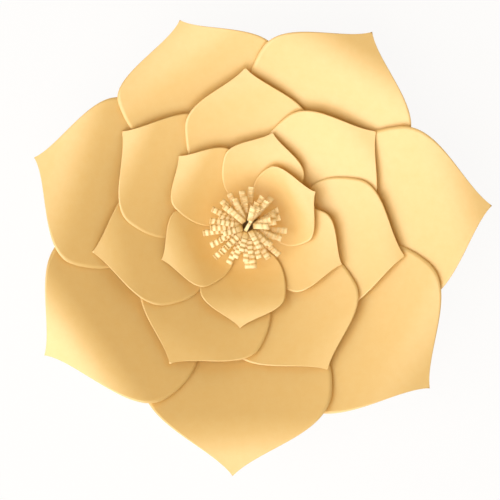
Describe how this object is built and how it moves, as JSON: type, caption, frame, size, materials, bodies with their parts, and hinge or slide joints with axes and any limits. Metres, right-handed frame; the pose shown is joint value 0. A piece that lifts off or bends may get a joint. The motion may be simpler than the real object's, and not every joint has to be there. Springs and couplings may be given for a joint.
{
  "type": "paper flower decoration",
  "caption": "Layered wall flower of curled card petals round a fringed paper centre, glued to a round card backing disc.",
  "frame": {"origin": "centre of the backing disc's rear face, which lies against the wall or table", "axes": "+Z out of the flower's face along its axis, +Y up and +X right as the flower hangs on a wall"},
  "size_m": [0.3015, 0.2995, 0.0589],
  "materials": {
    "petal_card": "matte uncoated coloured card, pale apricot",
    "disc_card": "matte card disc in the petals' colour",
    "fringe_card": "matte card, cut into strands and crimped"
  },
  "bodies": {
    "root": {"base_disc": "disc_card", "outer_petal_1": "petal_card", "outer_petal_2": "petal_card", "outer_petal_3": "petal_card", "outer_petal_4": "petal_card", "outer_petal_5": "petal_card", "outer_petal_6": "petal_card", "outer_petal_7": "petal_card", "middle_petal_1": "petal_card", "middle_petal_2": "petal_card", "middle_petal_3": "petal_card", "middle_petal_4": "petal_card", "middle_petal_5": "petal_card", "middle_petal_6": "petal_card", "middle_petal_7": "petal_card", "inner_petal_1": "petal_card", "inner_petal_2": "petal_card", "inner_petal_3": "petal_card", "inner_petal_4": "petal_card", "inner_petal_5": "petal_card", "top_petal": "petal_card", "centre_fringe": "fringe_card"}
  },
  "joints": []
}
